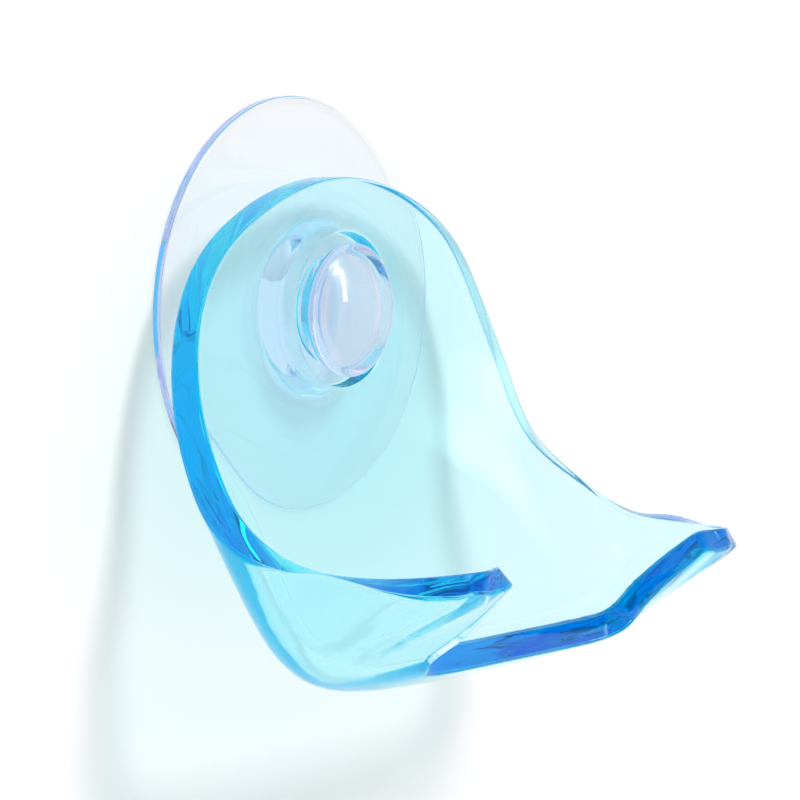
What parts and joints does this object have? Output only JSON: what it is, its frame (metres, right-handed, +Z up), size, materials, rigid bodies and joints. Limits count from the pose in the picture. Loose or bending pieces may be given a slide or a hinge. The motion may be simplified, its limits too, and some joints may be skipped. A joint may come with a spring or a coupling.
{
  "type": "razor holder",
  "caption": "Wall-mounted razor holder: a clear scoop with an open front notch and horns, held by a round suction cup.",
  "frame": {"origin": "centre of the suction face, on the axis of the cup and its knob, in the plane of the wall", "axes": "+Y into the wall along the cup's axis, so the holder's front faces -Y; +X across the holder; +Z up"},
  "size_m": [0.0654, 0.0422, 0.0604],
  "materials": {
    "clear_soft_pvc": "gloss",
    "tinted_clear_plastic": "gloss"
  },
  "bodies": {
    "suction_cup": {"suction_cup": "clear_soft_pvc"},
    "holder": {"holder": "tinted_clear_plastic"}
  },
  "joints": [
    {"name": "holder_swivel", "type": "hinge", "parent": "suction_cup", "child": "holder", "pos_m": [0, -0.0055, 0], "axis": [0, -1, 0], "continuous": true}
  ]
}
